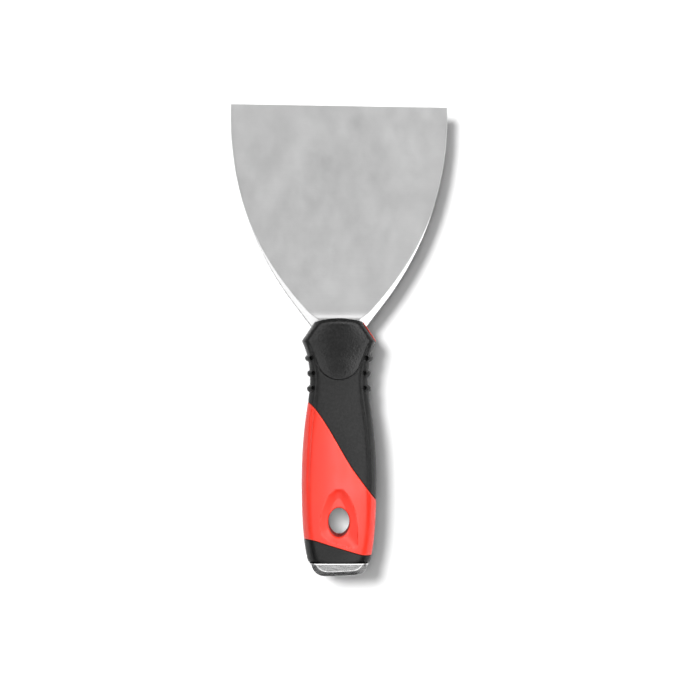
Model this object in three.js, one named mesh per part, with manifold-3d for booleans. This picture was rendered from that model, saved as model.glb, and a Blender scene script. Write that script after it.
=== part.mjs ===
// A flexible putty knife, lying on the back of its handle.
//
// The knife is drawn round its own middle plane: X runs across the blade, Y runs forward along
// the knife and Z runs through its thickness. A station is a distance behind the handle's front
// crown, so a point at station s lies at y = -s. The finished group is moved so that its origin
// is at the middle of the bottom of its bounding box.

import * as THREE from 'three';
import { mergeVertices } from 'three/addons/utils/BufferGeometryUtils.js';
import Module from 'manifold-3d';

const wasm = await Module();
wasm.setup();

// ------------------------------------------------------- driving dimensions, in mm and degrees

const clearance = 0.3;             // gap that neighbouring pieces keep
const reach = 100;                 // further than any half size, for cutters that pass right through

const blade = {
  width: 100,                      // across the straight working edge
  length: 98.9,                    // working edge to the handle's front crown
  parallelLength: 6,               // straight sides behind the working edge
  shankHalfWidth: 15.8,            // where the blade reaches the crown
  straightLength: 6.8,             // straight sloping sides in front of the crown
  edgeThickness: 0.6,
  rootThickness: 2.2,
  thinLength: 48,                  // front part that keeps the edge thickness
  taperPower: 1.5,                 // how quickly the rest thickens towards the root
  bevelAngle: 12,                  // of the ground side edges
  hingeAhead: 0.6,                 // line where the blade leaves the tang, in front of the crown
};

const handle = {
  length: 112.4,                   // front crown to the rear face of the collar
  frontCornerStation: 1.9,
  frontCornerHalfWidth: 11.35,
  shoulderStation: 10.5,
  shoulderHalfWidth: 17.15,
  shoulderHollowRun: 4.5,          // how the sides fall away behind the shoulder
  shoulderHollowDrop: 2.2,
  waistStation: 28.5,
  waistHalfWidth: 13.35,
  waistEase: 7.5,
  bellyFromRear: 36.4,
  bellyHalfWidth: 17.2,
  rearCornerFromRear: 1.9,
  rearCornerHalfWidth: 14.6,
  rearHalfWidth: 13.6,
  frontHalfThickness: 7.4,
  frontRound: 5,                   // length over which the front edge rounds up to the pad
  padHalfThickness: 8.5,
  padFlatEnd: 14.5,                // station where the level round the thumb pad ends
  waistHalfThickness: 7.9,
  bellyHalfThickness: 11.8,
  bellyFlatLength: 16,             // level stretch that the knife rests on
  rearCornerHalfThickness: 9.6,
  rearHalfThickness: 8.9,
};

const section = {
  landHalfWidth: 5,                // flat middle of each face
  faceSag: 0.35,                   // how far the face has fallen half-way to its outer edge
  faceDrop: 1.2,                   // how far it has fallen at its outer edge
  facetRun: 3.2,                   // width of the slanted side facet, seen from above
  cornerRun: 0.7,                  // small flats that break the edges of the facet
  cornerDrop: 0.7,
  sideHalfHeight: 3.4,             // upright band in the middle of each side
};

const grip = { wall: 2, frontWall: 1.6 };

const gripSeam = {
  startX: -15.2,                   // just outside the left side
  startStation: 37.9,
  leaveAngle: 28,                  // how steeply the seam leaves the left side
  leaveLength: 8.5,
  straightX: 7.1,                  // where the seam becomes a straight line
  straightFromRear: 42.3,
  arriveLength: 10.1,
  straightAngle: 53.8,
  steps: 10,
};

const lip = {
  width: 0.6,                      // strip of the core left bare along the right shoulder
  webDepth: 5,                     // web that holds the strip to the core
  webHalfHeight: 2.4,
  webFromCorner: 2.5,
  webFromShoulder: 2,
};

const thumbPad = { station: 17.8, radius: 10.4, rise: 0.7, edgeRun: 1.2, edgeDrop: 0.55, crown: 0.1 };

const ribs = {
  count: 3, firstStation: 18.6, pitch: 6.93, length: 2.3, rise: 1.25, halfHeight: 5.2,
  cornerCut: 1.5, edge: 0.6,
};

const collar = {
  leftFromRear: 10.9,              // length of the collar along the left side
  rightFromRear: 3.4,
  slopeStartX: -12.5,
  slopeEndX: 11.5,
  wall: 1.6,
  rearWall: 1.2,
};

const hangHole = { width: 9.4, length: 12.7, fromRear: 18.9, tubeWall: 1.5 };

const recess = {
  halfWidth: 6.2,                  // floor of the egg-shaped dish round the hang hole
  frontHalfWidth: 4.6,             // fullness of its front end
  rearHalfWidth: 3,                // fullness of its rear end
  frontFromHole: 12.4,
  rearFromHole: 8.4,
  widestBehindHole: 1,
  sideHold: 5,
  wallRun: 2.9,                    // width of its sloping wall
  depth: 1.6,
};

const tang = {
  shoulderHalfWidth: 10,
  neckLength: 3,
  coreSideWall: 1.75,              // plastic left beside the tang at the waist
  tailHalfWidth: 4,
  tailEyeWall: 1.5,                // steel behind the rivet hole
};

const cap = {
  length: 5.8,                     // beyond the gap behind the collar
  sideInset: 0.2,                  // how far its sides stay inside the collar's rear edge
  faceInset: 0.8,
  strikingHalfWidth: 7.2,          // flat striking face
  cornerHold: 2.5,
  edgeRadius: 1.7,
  spigotHalfWidth: 6.6,
  spigotHalfThickness: 4,
  spigotLength: 9.2,               // measured from the collar's rear face
  pocketDepth: 0.8,                // room between the spigot's end and the core
};

const rivet = { radius: 1.8, sides: 24 };

// ---------------------------------------------------------------- materials

const materials = {
  bladeSteel: new THREE.MeshStandardMaterial({ color: 0xc3c4c5, roughness: 0.38, metalness: 1 }),
  redPlastic: new THREE.MeshStandardMaterial({ color: 0xf4573f, roughness: 0.42, metalness: 0 }),
  gripRubber: new THREE.MeshStandardMaterial({ color: 0x3a3a3a, roughness: 0.75, metalness: 0 }),
  collarRubber: new THREE.MeshStandardMaterial({ color: 0x2c2c2c, roughness: 0.7, metalness: 0 }),
  platedSteel: new THREE.MeshStandardMaterial({ color: 0xb9babb, roughness: 0.25, metalness: 1 }),
  pinSteel: new THREE.MeshStandardMaterial({ color: 0xa9aaab, roughness: 0.45, metalness: 1 }),
};

// ---------------------------------------------------------------- solids and cutters

const radians = THREE.MathUtils.degToRad;
const { lerp } = THREE.MathUtils;

function toSolid(geometry) {
  const bare = geometry.clone();
  bare.deleteAttribute('normal');
  bare.deleteAttribute('uv');
  const merged = mergeVertices(bare, 1e-4);
  const mesh = new wasm.Mesh({
    numProp: 3,
    vertProperties: new Float32Array(merged.attributes.position.array),
    triVerts: new Uint32Array(merged.index.array),
  });
  return new wasm.Manifold(mesh);
}

function toGeometry(solid) {
  const mesh = solid.getMesh();
  const geometry = new THREE.BufferGeometry();
  geometry.setAttribute('position', new THREE.BufferAttribute(mesh.vertProperties, 3));
  geometry.setIndex(new THREE.BufferAttribute(mesh.triVerts, 1));
  geometry.computeVertexNormals();
  return geometry;
}

// A closed outline through points given as [x, y].
function outline(points) {
  return new THREE.Shape(points.map(([x, y]) => new THREE.Vector2(x, y)));
}

function ellipse(halfWidth, halfLength, station) {
  const shape = new THREE.Shape();
  shape.absellipse(0, -station, halfWidth, halfLength, 0, 2 * Math.PI, false);
  return shape;
}

// A prism standing on a plan outline, from one height to another.
function prism(shape, low = -reach, high = reach) {
  const geometry = new THREE.ExtrudeGeometry(shape, {
    depth: high - low, bevelEnabled: false, curveSegments: 10,
  });
  geometry.translate(0, 0, low);
  return toSolid(geometry);
}

// The body between rings of points, closed at both ends.
function loft(rings) {
  const count = rings[0].length;
  const positions = rings.flat().flatMap((point) => point.toArray());
  const indices = [];
  for (let ring = 0; ring + 1 < rings.length; ring += 1) {
    for (let k = 0; k < count; k += 1) {
      const a = ring * count + k;
      const b = ring * count + (k + 1) % count;
      indices.push(a, a + count, b);
      indices.push(b, a + count, b + count);
    }
  }
  const last = (rings.length - 1) * count;
  for (let k = 1; k + 1 < count; k += 1) {
    indices.push(0, k, k + 1);
    indices.push(last, last + k + 1, last + k);
  }
  const geometry = new THREE.BufferGeometry();
  geometry.setAttribute('position', new THREE.Float32BufferAttribute(positions, 3));
  geometry.setIndex(indices);
  return toSolid(geometry);
}

// Carries a path on to a point, leaving and arriving level; each level holds for a share of the run.
function easeTo(path, x, y, leaveShare, arriveShare) {
  const from = path.currentPoint.clone();
  const run = x - from.x;
  path.bezierCurveTo(from.x + leaveShare * run, from.y, x - arriveShare * run, y, x, y);
}

// The height of a path, which only ever runs forward, at any position along it.
function readPath(path) {
  const points = path.getPoints(16);
  return (position) => {
    const next = points.findIndex((point) => point.x > position);
    if (next === 0) return points[0].y;
    if (next < 0) return points[points.length - 1].y;
    const [a, b] = [points[next - 1], points[next]];
    return a.y + (b.y - a.y) * (position - a.x) / (b.x - a.x);
  };
}

// ---------------------------------------------------------------- blade

const flareRun = blade.length - blade.parallelLength - blade.straightLength;

// The angle through which the flare turns, so that the straight sides that run on from it bring
// the blade down to the shank's width at the crown.
function flareAngle() {
  const drop = blade.width / 2 - blade.shankHalfWidth;
  let [low, high] = [0, Math.PI / 2];
  for (let step = 0; step < 40; step += 1) {
    const middle = (low + high) / 2;
    const reached = flareRun * Math.tan(middle / 2) + blade.straightLength * Math.tan(middle);
    if (reached < drop) low = middle;
    else high = middle;
  }
  return (low + high) / 2;
}

const shankSlope = Math.tan(flareAngle());
const flareRadius = flareRun / Math.sin(flareAngle());

// Half the blade's width at a distance y in front of the crown.
function bladeHalfWidth(y) {
  if (y < blade.straightLength) return blade.shankHalfWidth + y * shankSlope;
  const behind = Math.max(0, blade.length - blade.parallelLength - y);
  return blade.width / 2 - flareRadius + Math.sqrt(flareRadius ** 2 - behind ** 2);
}

function bladeThickness(y) {
  const thickenFrom = blade.length - blade.thinLength;
  const share = THREE.MathUtils.clamp((thickenFrom - y) / thickenFrom, 0, 1);
  return blade.edgeThickness
    + (blade.rootThickness - blade.edgeThickness) * share ** blade.taperPower;
}

function bladeRing(y) {
  const least = 0.001;
  const w = bladeHalfWidth(y);
  const e = blade.edgeThickness / 2;
  const t = bladeThickness(y) / 2;
  const bevel = Math.max(t - e, least) / Math.tan(radians(blade.bevelAngle));
  return [
    [w - bevel, t], [-w + bevel, t], [-w, e], [-w, -e],
    [-w + bevel, -t], [w - bevel, -t], [w, -e], [w, e],
  ].map(([x, z]) => new THREE.Vector3(x, y, z));
}

function makeBlade() {
  const root = blade.hingeAhead + clearance;
  const steps = 26;
  const rings = [];
  for (let k = 0; k <= steps; k += 1) {
    rings.push(bladeRing(root + (blade.length - root) * k / steps));
  }
  return loft(rings);
}

// ---------------------------------------------------------------- outer form of the handle

const belly = handle.length - handle.bellyFromRear;
const rearCorner = handle.length - handle.rearCornerFromRear;
const holeStation = handle.length - hangHole.fromRear;
const rivetStation = handle.length - cap.spigotLength / 2;
const aheadOfCrown = -5;

const shoulderSlope = (handle.shoulderHalfWidth - handle.frontCornerHalfWidth)
  / (handle.shoulderStation - handle.frontCornerStation);

function shoulderLine(station) {
  return handle.frontCornerHalfWidth + (station - handle.frontCornerStation) * shoulderSlope;
}

function sidePath() {
  const path = new THREE.Path();
  path.moveTo(aheadOfCrown, shoulderLine(aheadOfCrown));
  path.lineTo(handle.shoulderStation, handle.shoulderHalfWidth);
  path.bezierCurveTo(
    handle.shoulderStation + handle.shoulderHollowRun,
    handle.shoulderHalfWidth - handle.shoulderHollowDrop,
    handle.waistStation - handle.waistEase, handle.waistHalfWidth,
    handle.waistStation, handle.waistHalfWidth);
  easeTo(path, belly, handle.bellyHalfWidth, 0.21, 0.59);
  const rearRun = rearCorner - belly;
  path.bezierCurveTo(
    belly + 0.46 * rearRun, handle.bellyHalfWidth,
    rearCorner - 0.22 * rearRun, lerp(handle.rearCornerHalfWidth, handle.bellyHalfWidth, 0.7),
    rearCorner, handle.rearCornerHalfWidth);
  path.quadraticCurveTo(
    handle.length, handle.rearHalfWidth + (handle.rearCornerHalfWidth - handle.rearHalfWidth) / 2,
    handle.length, handle.rearHalfWidth);
  return path;
}

function facePath() {
  const path = new THREE.Path();
  path.moveTo(aheadOfCrown, handle.frontHalfThickness);
  path.lineTo(0, handle.frontHalfThickness);
  path.quadraticCurveTo(
    handle.frontRound / 5, handle.padHalfThickness, handle.frontRound, handle.padHalfThickness);
  path.lineTo(handle.padFlatEnd, handle.padHalfThickness);
  easeTo(path, handle.waistStation, handle.waistHalfThickness, 0.5, 0.5);
  easeTo(path, belly - handle.bellyFlatLength, handle.bellyHalfThickness, 0.32, 0.38);
  path.lineTo(belly, handle.bellyHalfThickness);
  const rearRun = rearCorner - belly;
  path.bezierCurveTo(
    belly + 0.46 * rearRun, handle.bellyHalfThickness,
    rearCorner - 0.22 * rearRun,
    lerp(handle.rearCornerHalfThickness, handle.bellyHalfThickness, 0.6),
    rearCorner, handle.rearCornerHalfThickness);
  path.quadraticCurveTo(
    handle.length, (handle.rearCornerHalfThickness + handle.rearHalfThickness) / 2,
    handle.length, handle.rearHalfThickness);
  return path;
}

const handleHalfWidth = readPath(sidePath());
const handleHalfThickness = readPath(facePath());

// One quarter of the section runs from the middle of the face to the middle of the side.
function sectionRing(station, inset) {
  const w = handleHalfWidth(station) - inset;
  const h = handleHalfThickness(station) - inset;
  const faceX = w - section.facetRun;
  const side = Math.min(section.sideHalfHeight, 0.4 * h) - inset / 3;
  const land = Math.min(section.landHalfWidth, faceX / 2);
  const quarter = [
    [land, h],
    [(land + faceX) / 2, h - section.faceSag],
    [faceX - section.cornerRun, h - section.faceDrop],
    [faceX, h - section.faceDrop - section.cornerDrop],
    [w - section.cornerRun / 2, side + section.cornerDrop],
    [w, side],
  ];
  const lower = quarter.map(([x, z]) => [x, -z]).reverse();
  const right = [...quarter, ...lower];
  const left = right.map(([x, z]) => [-x, z]).reverse();
  return [...left, ...right].map(([x, z]) => new THREE.Vector3(x, -station, z));
}

// Stations for a loft, at an even spacing between the places where the form changes.
function handleStations(from, to) {
  const spacing = 4.2;
  const rearRounding = handle.length - 0.4 * handle.rearCornerFromRear;
  const changes = [handle.shoulderStation, handle.waistStation, belly, rearCorner, rearRounding];
  const keys = [from, ...changes.filter((s) => s > from && s < to), to];
  const stations = [];
  for (let k = 0; k + 1 < keys.length; k += 1) {
    const steps = Math.max(1, Math.round((keys[k + 1] - keys[k]) / spacing));
    for (let step = 0; step < steps; step += 1) {
      stations.push(keys[k] + (keys[k + 1] - keys[k]) * step / steps);
    }
  }
  return [...stations, to];
}

function handleLoft(inset, from, to) {
  return loft(handleStations(from, to).map((station) => sectionRing(station, inset)));
}

// Everything behind the front crown, moved back by an offset.
function behindCrown(offset) {
  const half = handle.frontCornerHalfWidth;
  const sagitta = handle.frontCornerStation;
  const radius = (half ** 2 + sagitta ** 2) / (2 * sagitta);
  const sweep = Math.asin(half / radius);
  const shape = outline([
    [-half, -sagitta - offset], [-reach, -sagitta - offset], [-reach, -2 * handle.length],
    [reach, -2 * handle.length], [reach, -sagitta - offset], [half, -sagitta - offset],
  ]);
  shape.absarc(0, -radius - offset, radius, Math.PI / 2 - sweep, Math.PI / 2 + sweep, false);
  return prism(shape);
}

const outerForm = handleLoft(0, -1, handle.length).intersect(behindCrown(0));

// ---------------------------------------------------------------- seams between the mouldings

function direction(angle) {
  return new THREE.Vector2(Math.cos(radians(angle)), -Math.sin(radians(angle)));
}

// Plan points of the seam between grip and core, moved forward square to its straight part.
function gripSeamLine(offset) {
  const run = direction(gripSeam.straightAngle);
  const shift = new THREE.Vector2(-run.y, run.x).multiplyScalar(offset);
  const leave = direction(gripSeam.leaveAngle);
  const start = new THREE.Vector2(gripSeam.startX, -gripSeam.startStation);
  const straight = new THREE.Vector2(
    gripSeam.straightX, -(handle.length - gripSeam.straightFromRear));
  const curve = new THREE.CubicBezierCurve(
    start, start.clone().addScaledVector(leave, gripSeam.leaveLength),
    straight.clone().addScaledVector(run, -gripSeam.arriveLength), straight);
  const line = [
    start.clone().addScaledVector(leave, -reach / 2),
    ...curve.getPoints(gripSeam.steps),
    straight.clone().addScaledVector(run, reach / 2),
  ];
  return line.map((point) => point.add(shift).toArray());
}

function collarSeamLine(offset) {
  const left = -(handle.length - collar.leftFromRear) + offset;
  const right = -(handle.length - collar.rightFromRear) + offset;
  return [[-reach, left], [collar.slopeStartX, left], [collar.slopeEndX, right], [reach, right]];
}

function aheadOf(line) {
  return prism(outline([...line, [reach, 2 * reach], [-reach, 2 * reach]]));
}

function behind(line) {
  const far = -2 * handle.length;
  return prism(outline([...line, [reach, far], [-reach, far]].reverse()));
}

// The strip along the right shoulder, from outside the handle to a depth behind the shoulder.
function shoulderStrip(depth, from, to, halfHeight = reach) {
  const outside = -5;
  const slant = Math.hypot(1, shoulderSlope);
  const corner = (station, inward) => [
    shoulderLine(station) - inward / slant, -station - inward * shoulderSlope / slant];
  return prism(outline([
    corner(from, depth), corner(to, depth), corner(to, outside), corner(from, outside),
  ]), -halfHeight, halfHeight);
}

// ---------------------------------------------------------------- tang

const tangHalfWidth = handle.waistHalfWidth - grip.wall - clearance - tang.coreSideWall - clearance;

// The tang's outline grown by a margin.
function tangOutline(margin) {
  const front = blade.hingeAhead - clearance + margin;
  const slopingMargin = margin * Math.hypot(1, shankSlope);
  const neck = (blade.shankHalfWidth - tang.shoulderHalfWidth) / shankSlope;
  const tailStart = handle.length - cap.spigotLength - clearance;
  const tailEnd = rivetStation + rivet.radius + clearance + tang.tailEyeWall;
  const right = [
    [bladeHalfWidth(front) + slopingMargin, front],
    [tang.shoulderHalfWidth + slopingMargin, -neck],
    [tangHalfWidth + margin, -neck - tang.neckLength],
    [tangHalfWidth + margin, -tailStart - margin],
    [tang.tailHalfWidth + margin, -tailStart - margin],
    [tang.tailHalfWidth + margin, -tailEnd - margin],
  ];
  const left = right.map(([x, y]) => [-x, y]).reverse();
  return outline([...left, ...right].reverse());
}

// The tang before its rivet hole, grown by a margin that also closes in on the hang hole's tube.
function tangPlate(margin) {
  const half = blade.rootThickness / 2 + margin;
  const tubeGap = hangHole.tubeWall + clearance - margin;
  const eye = ellipse(hangHole.width / 2 + tubeGap, hangHole.length / 2 + tubeGap, holeStation);
  return prism(tangOutline(margin), -half, half).subtract(prism(eye));
}

function rivetPin(radius, halfLength) {
  const geometry = new THREE.CylinderGeometry(radius, radius, 2 * halfLength, rivet.sides);
  geometry.rotateX(Math.PI / 2);
  geometry.translate(0, -rivetStation, 0);
  return toSolid(geometry);
}

const rivetHole = rivetPin(rivet.radius + clearance, reach);

function makeTang() {
  return tangPlate(0).subtract(rivetHole);
}

// ---------------------------------------------------------------- hammer cap and rivet

function capHead() {
  const edge = cap.edgeRadius;
  const front = -handle.length - clearance - edge;
  const rear = -handle.length - clearance - cap.length + edge;
  const half = handle.rearHalfWidth - cap.sideInset - edge;
  const face = cap.strikingHalfWidth;
  const halfThickness = handle.rearHalfThickness - cap.faceInset;
  const shape = new THREE.Shape();
  shape.moveTo(-half, front);
  shape.bezierCurveTo(-half, front - edge / 2, -face - cap.cornerHold, rear, -face, rear);
  shape.lineTo(face, rear);
  shape.bezierCurveTo(face + cap.cornerHold, rear, half, front - edge / 2, half, front);
  const geometry = new THREE.ExtrudeGeometry(shape, {
    depth: 2 * (halfThickness - edge), bevelEnabled: true, bevelThickness: edge, bevelSize: edge,
    bevelSegments: 3, curveSegments: 8,
  });
  geometry.translate(0, 0, edge - halfThickness);
  return toSolid(geometry);
}

function spigot(margin, extraLength) {
  const from = handle.length - cap.spigotLength - extraLength;
  const to = handle.length + clearance + cap.edgeRadius;
  const geometry = new THREE.BoxGeometry(
    2 * (cap.spigotHalfWidth + margin), to - from, 2 * (cap.spigotHalfThickness + margin));
  geometry.translate(0, -(from + to) / 2, 0);
  return toSolid(geometry);
}

function makeHammerCap() {
  const slotHalf = blade.rootThickness / 2 + clearance;
  return capHead()
    .add(spigot(0, 0))
    .subtract(prism(tangOutline(clearance), -slotHalf, slotHalf))
    .subtract(rivetHole);
}

function makeCapRivet() {
  return rivetPin(rivet.radius, handleHalfThickness(rivetStation) - collar.wall - 2 * clearance);
}

// ---------------------------------------------------------------- mouldings

function underGrip(margin) {
  return handleLoft(grip.wall + margin, 0, handle.length)
    .intersect(behindCrown(grip.frontWall + margin));
}

function underCollar(margin) {
  const seam = collarSeamLine(collar.wall);
  return handleLoft(collar.wall + margin, belly, handle.length - collar.rearWall - margin)
    .intersect(behind(seam));
}

function lipWeb(margin) {
  return shoulderStrip(
    lip.webDepth,
    handle.frontCornerStation + lip.webFromCorner - margin,
    handle.shoulderStation - lip.webFromShoulder + margin,
    lip.webHalfHeight + margin);
}

// The egg-shaped dish round the hang hole, on the upper face or, turned over, on the lower one.
function dish(turn) {
  const front = -holeStation + recess.frontFromHole;
  const rear = -holeStation - recess.rearFromHole;
  const widest = -holeStation - recess.widestBehindHole;
  const shape = new THREE.Shape();
  shape.moveTo(0, front);
  shape.bezierCurveTo(-recess.frontHalfWidth, front,
    -recess.halfWidth, widest + recess.sideHold, -recess.halfWidth, widest);
  shape.bezierCurveTo(-recess.halfWidth, widest - recess.sideHold, -recess.rearHalfWidth, rear,
    0, rear);
  shape.bezierCurveTo(recess.rearHalfWidth, rear,
    recess.halfWidth, widest - recess.sideHold, recess.halfWidth, widest);
  shape.bezierCurveTo(recess.halfWidth, widest + recess.sideHold, recess.frontHalfWidth, front,
    0, front);
  const geometry = new THREE.ExtrudeGeometry(shape, {
    depth: 2 * recess.depth, bevelEnabled: true, bevelThickness: recess.depth,
    bevelSize: recess.wallRun, bevelSegments: 3, curveSegments: 6,
  });
  geometry.translate(0, 0, handleHalfThickness(holeStation));
  geometry.rotateY(turn);
  return toSolid(geometry);
}

function makeHandleCore() {
  const bare = outerForm
    .intersect(behind(gripSeamLine(-clearance / 2)))
    .intersect(aheadOf(collarSeamLine(clearance / 2)));
  const bareLip = outerForm.intersect(
    shoulderStrip(lip.width, handle.frontCornerStation, handle.shoulderStation));
  return bare
    .add(underGrip(clearance).intersect(aheadOf(collarSeamLine(clearance / 2))))
    .add(underCollar(clearance))
    .add(bareLip)
    .add(outerForm.intersect(lipWeb(0)))
    .subtract(tangPlate(clearance))
    .subtract(prism(ellipse(hangHole.width / 2, hangHole.length / 2, holeStation)))
    .subtract(dish(0))
    .subtract(dish(Math.PI))
    .subtract(spigot(clearance, cap.pocketDepth))
    .subtract(rivetHole);
}

function thumbPads() {
  const top = handle.padHalfThickness + thumbPad.rise;
  const upper = [
    new THREE.Vector2(thumbPad.radius, top - thumbPad.edgeDrop),
    new THREE.Vector2(thumbPad.radius - thumbPad.edgeRun, top - thumbPad.crown),
    new THREE.Vector2(0, top),
  ];
  const lower = upper.map((point) => new THREE.Vector2(point.x, -point.y)).reverse();
  const geometry = new THREE.LatheGeometry([...lower, ...upper], 40);
  geometry.rotateX(Math.PI / 2);
  geometry.translate(0, -thumbPad.station, 0);
  return toSolid(geometry);
}

// A bar that stands proud of both sides; the handle's own body fills its middle.
function rib(station) {
  const halfWidth = handleHalfWidth(station) + ribs.rise - ribs.edge;
  const halfHeight = ribs.halfHeight - ribs.edge;
  const cut = ribs.cornerCut;
  const right = [
    [halfWidth - cut, -halfHeight], [halfWidth, -halfHeight + cut],
    [halfWidth, halfHeight - cut], [halfWidth - cut, halfHeight],
  ];
  const left = right.map(([x, y]) => [-x, y]).reverse();
  const geometry = new THREE.ExtrudeGeometry(outline([...right, ...left]), {
    depth: ribs.length - 2 * ribs.edge, bevelEnabled: true, bevelThickness: ribs.edge,
    bevelSize: ribs.edge, bevelSegments: 2,
  });
  geometry.rotateX(Math.PI / 2);
  geometry.translate(0, -station + ribs.length / 2 - ribs.edge, 0);
  return toSolid(geometry);
}

function makeSoftGrip() {
  const lipGap = shoulderStrip(
    lip.width + clearance, aheadOfCrown, handle.shoulderStation + clearance);
  let body = outerForm.add(thumbPads());
  for (let k = 0; k < ribs.count; k += 1) {
    body = body.add(rib(ribs.firstStation + k * ribs.pitch));
  }
  return body
    .intersect(aheadOf(gripSeamLine(clearance / 2)))
    .subtract(lipGap)
    .subtract(lipWeb(clearance))
    .subtract(underGrip(0))
    .subtract(tangPlate(clearance));
}

function makeRearCollar() {
  return outerForm
    .intersect(behind(collarSeamLine(-clearance / 2)))
    .subtract(handleLoft(collar.wall, belly, handle.length - collar.rearWall))
    .subtract(spigot(clearance, 0));
}

// ---------------------------------------------------------------- assembly

const pieces = [
  ['blade', makeBlade(), materials.bladeSteel],
  ['tang', makeTang(), materials.bladeSteel],
  ['handle_core', makeHandleCore(), materials.redPlastic],
  ['soft_grip', makeSoftGrip(), materials.gripRubber],
  ['rear_collar', makeRearCollar(), materials.collarRubber],
  ['hammer_cap', makeHammerCap(), materials.platedSteel],
  ['cap_rivet', makeCapRivet(), materials.pinSteel],
];

const knife = new THREE.Group();
for (const [name, solid, material] of pieces) {
  const mesh = new THREE.Mesh(toGeometry(solid), material);
  mesh.name = name;
  knife.add(mesh);
}

const rearEnd = handle.length + clearance + cap.length;
knife.position.set(0, (rearEnd - blade.length) / 2, handle.bellyHalfThickness);
knife.updateMatrixWorld(true);

export default knife;
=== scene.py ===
"""A flexible putty knife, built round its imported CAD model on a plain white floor.

Shapes are worked out in millimetres in the knife's own frame: x runs across the blade, y runs
forward from the front crown of the handle, and z runs up from the blade's middle plane. A
station is a distance behind the crown, so it is -y. Both faces of the knife are alike.
"""

import math

import bpy
import numpy as np
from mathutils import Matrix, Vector


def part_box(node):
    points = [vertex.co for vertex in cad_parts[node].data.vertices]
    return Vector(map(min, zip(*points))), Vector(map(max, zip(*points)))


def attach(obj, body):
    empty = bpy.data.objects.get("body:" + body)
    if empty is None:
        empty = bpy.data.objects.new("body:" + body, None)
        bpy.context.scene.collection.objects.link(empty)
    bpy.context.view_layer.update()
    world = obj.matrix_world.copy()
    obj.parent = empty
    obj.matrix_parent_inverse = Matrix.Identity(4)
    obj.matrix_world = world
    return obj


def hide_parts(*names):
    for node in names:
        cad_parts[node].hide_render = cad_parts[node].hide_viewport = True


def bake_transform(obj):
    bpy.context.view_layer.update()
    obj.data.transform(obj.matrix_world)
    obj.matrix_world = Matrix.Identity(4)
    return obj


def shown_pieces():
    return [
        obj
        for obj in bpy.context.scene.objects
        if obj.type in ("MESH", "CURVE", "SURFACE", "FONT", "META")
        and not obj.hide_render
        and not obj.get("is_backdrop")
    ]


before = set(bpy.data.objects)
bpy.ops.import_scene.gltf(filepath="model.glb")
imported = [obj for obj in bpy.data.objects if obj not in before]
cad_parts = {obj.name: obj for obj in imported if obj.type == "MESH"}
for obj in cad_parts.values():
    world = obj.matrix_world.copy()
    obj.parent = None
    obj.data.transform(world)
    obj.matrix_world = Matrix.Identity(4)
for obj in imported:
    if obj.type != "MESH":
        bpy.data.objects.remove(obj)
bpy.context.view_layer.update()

MM = 0.001
CROWN_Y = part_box("soft_grip")[1].y
MIDDLE_Z = (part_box("handle_core")[0].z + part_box("handle_core")[1].z) / 2

# --------------------------------------------------------------- dimensions, in mm

BLADE_LENGTH = (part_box("blade")[1].y - CROWN_Y) / MM
BLADE_WIDTH = (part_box("blade")[1].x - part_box("blade")[0].x) / MM
PARALLEL_LENGTH = 6
SHANK_HALF_WIDTH = 15.8
STRAIGHT_LENGTH = 6.8
EDGE_THICKNESS = 0.6
ROOT_THICKNESS = 2.2
THIN_LENGTH = 48
BEVEL_SLOPE = math.tan(math.radians(12))
EDGE_SLANT = 1.7            # the working edge is this much shorter at its right corner
SLANT_START = 60            # how far in front of the crown the blade starts to shorten
SIDE_SLOPE = 0.5            # how fast the blade's sides run in, on average
ROOT_RAMP = 5.0             # how far in front of the crown the steel starts to rise
ROOT_RISE = 0.3
BLADE_BEHIND_CROWN = 5.2

HANDLE_LENGTH = (CROWN_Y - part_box("rear_collar")[0].y) / MM
CROWN_HALF_WIDTH = 11.35
CROWN_SAG = 1.9
CROWN_RADIUS = (CROWN_HALF_WIDTH**2 + CROWN_SAG**2) / (2 * CROWN_SAG)
SHOULDER = (10.5, 17.15)    # station and half width
WAIST = (28.5, 13.35)
WAIST_HALF_THICKNESS = 7.9
BELLY = (HANDLE_LENGTH - 36.4, 17.2)
BELLY_HALF_THICKNESS = (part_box("handle_core")[1].z - MIDDLE_Z) / MM
BELLY_FLAT = 16
REAR_CORNER = (HANDLE_LENGTH - 1.9, 14.6)
REAR_CORNER_HALF_THICKNESS = 9.6
REAR_HALF_WIDTH = 13.6
REAR_HALF_THICKNESS = 8.9
END_ROUND = 0.35
PAD_HALF_THICKNESS = 8.5
PAD_FLAT_END = 14.5

SHOULDER_FACET_RUN = 2.0    # width of the slanted side facet, seen from above
FACET_RUN = 3.0
WAIST_FACE_DROP = 1.3       # how far the face has fallen at its outer edge
BELLY_FACE_DROP = 2.3
REAR_FACE_DROP = 1.6
FACE_POWER = 2.4            # the face is nearly level inside and falls towards its edge
SIDE_HALF_HEIGHT = 5
CREASE_DEPTH = 0.28         # groove between face and facet
CREASE_WIDTH = 0.55
CREASE_FADE = (74, 90)      # stations between which the groove runs out
FRONT_BEVEL_RUN = 1.4
FRONT_BEVEL_DROP = 1.8
EDGE_BLEND = 1.3

PAD_STATION = 17.8
PAD_RADIUS = 10.4
PAD_CROWN = 0.5
PAD_FOLLOWS_FACE = 0.95     # share of the face's own fall that the pad repeats
PAD_SINK = 0.45             # how much lower the pad is in front
RIB_STATIONS = [18.6, 25.53, 32.46]
RIB_RADIUS = 1.45
RIB_REACH = 0.9             # how far each rib runs in over the facet
PIT_RADIUS = 0.75           # small hollow at the inner end of each rib
PIT_INWARD = 0.8

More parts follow.
